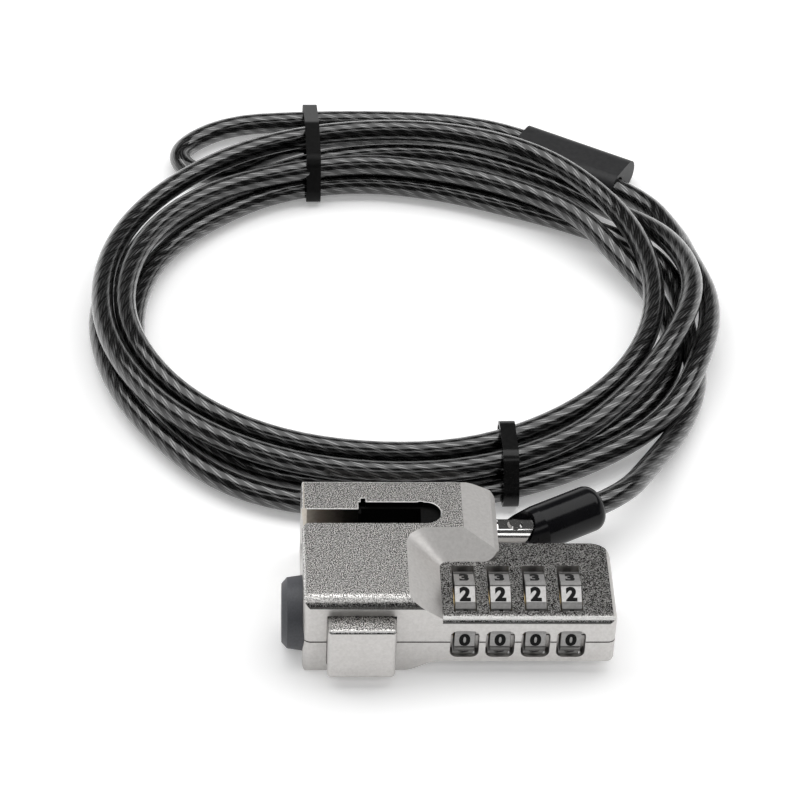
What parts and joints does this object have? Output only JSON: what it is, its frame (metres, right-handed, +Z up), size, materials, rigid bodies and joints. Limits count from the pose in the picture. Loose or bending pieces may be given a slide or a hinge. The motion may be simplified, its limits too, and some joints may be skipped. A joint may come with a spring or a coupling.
{
  "type": "laptop cable lock",
  "caption": "Combination cable lock: die-cast case with number dials, slot, push buttons, and a swivelling sheathed steel cable wound in a tied coil.",
  "frame": {"origin": "middle of the case's footprint, buttons included, on the surface it lies on", "axes": "+X along the dials' axis towards the low end, +Y from the silver push button towards the cable, +Z up"},
  "size_m": [0.1467, 0.1979, 0.0198],
  "materials": {
    "nickel_blasted": "bead-blasted nickel plate",
    "nickel_satin": "satin nickel plate",
    "chrome": "bright chrome plate",
    "dial_silver": "satin nickel plate with black filled digits",
    "button_grey": "fine grained dark grey",
    "inner_steel": "machined steel",
    "brass": "turned",
    "spring_steel": "drawn wire",
    "liner_black": "matte moulded",
    "boot_black": "high gloss vinyl",
    "cable_sheath": "clear smoke vinyl over twisted steel strands",
    "tie_black": "semi gloss moulded"
  },
  "bodies": {
    "case": {"upper_case": "nickel_blasted", "lower_case": "nickel_satin", "slot_liner": "liner_black", "detent_comb": "spring_steel", "case_screws": "inner_steel", "release_spring": "spring_steel", "plunger_spring": "spring_steel", "latch_leaf": "spring_steel"},
    "release": {"release_button": "button_grey", "spindle": "inner_steel"},
    "plunger": {"plunger": "chrome", "lock_fork": "inner_steel", "guide_leg": "inner_steel", "lock_jaw": "inner_steel"},
    "latch": {"latch": "inner_steel"},
    "swivel": {"swivel_barrel": "chrome", "barrel_clip": "spring_steel", "pivot_pin": "chrome"},
    "cable_end": {"cable_eye": "inner_steel", "cable_boot": "boot_black", "cable_lead": "cable_sheath", "cable_coil": "cable_sheath", "crimp_sleeve": "boot_black", "anchor_loop": "cable_sheath", "tie_front": "tie_black", "tie_back": "tie_black"},
    "dial_1": {"dial_ring_1": "dial_silver", "dial_hub_1": "brass"},
    "dial_2": {"dial_ring_2": "dial_silver", "dial_hub_2": "brass"},
    "dial_3": {"dial_ring_3": "dial_silver", "dial_hub_3": "brass"},
    "dial_4": {"dial_ring_4": "dial_silver", "dial_hub_4": "brass"}
  },
  "joints": [
    {"name": "dial_1_turn", "type": "hinge", "parent": "case", "child": "dial_1", "pos_m": [0.00317, -0.0079, 0.00865], "axis": [1, 0, 0], "continuous": true},
    {"name": "dial_2_turn", "type": "hinge", "parent": "case", "child": "dial_2", "pos_m": [0.01043, -0.0079, 0.00865], "axis": [1, 0, 0], "continuous": true},
    {"name": "dial_3_turn", "type": "hinge", "parent": "case", "child": "dial_3", "pos_m": [0.01767, -0.0079, 0.00865], "axis": [1, 0, 0], "continuous": true},
    {"name": "dial_4_turn", "type": "hinge", "parent": "case", "child": "dial_4", "pos_m": [0.02492, -0.0079, 0.00865], "axis": [1, 0, 0], "continuous": true},
    {"name": "release_press", "type": "slide", "parent": "case", "child": "release", "axis": [1, 0, 0], "range_m": [0, 0.002], "stiffness_N_per_m": 1500, "springref_m": -0.001, "deforming": ["release_spring"]},
    {"name": "plunger_press", "type": "slide", "parent": "case", "child": "plunger", "axis": [0, 1, 0], "range_m": [0, 0.004], "stiffness_N_per_m": 1000, "springref_m": -0.001, "deforming": ["plunger_spring"]},
    {"name": "latch_drop", "type": "slide", "parent": "case", "child": "latch", "axis": [0, 0, -1], "range_m": [0, 0.0012], "stiffness_N_per_m": 200, "springref_m": -0.0005},
    {"name": "cable_swivel", "type": "hinge", "parent": "case", "child": "swivel", "pos_m": [0.01098, 0.0141, 0.01], "axis": [1, 0, 0], "range_deg": [-90, 90]},
    {"name": "cable_pivot", "type": "hinge", "parent": "swivel", "child": "cable_end", "pos_m": [0.01507, 0.0141, 0.0094], "axis": [0, 0, 1], "range_deg": [-29, 5]}
  ]
}
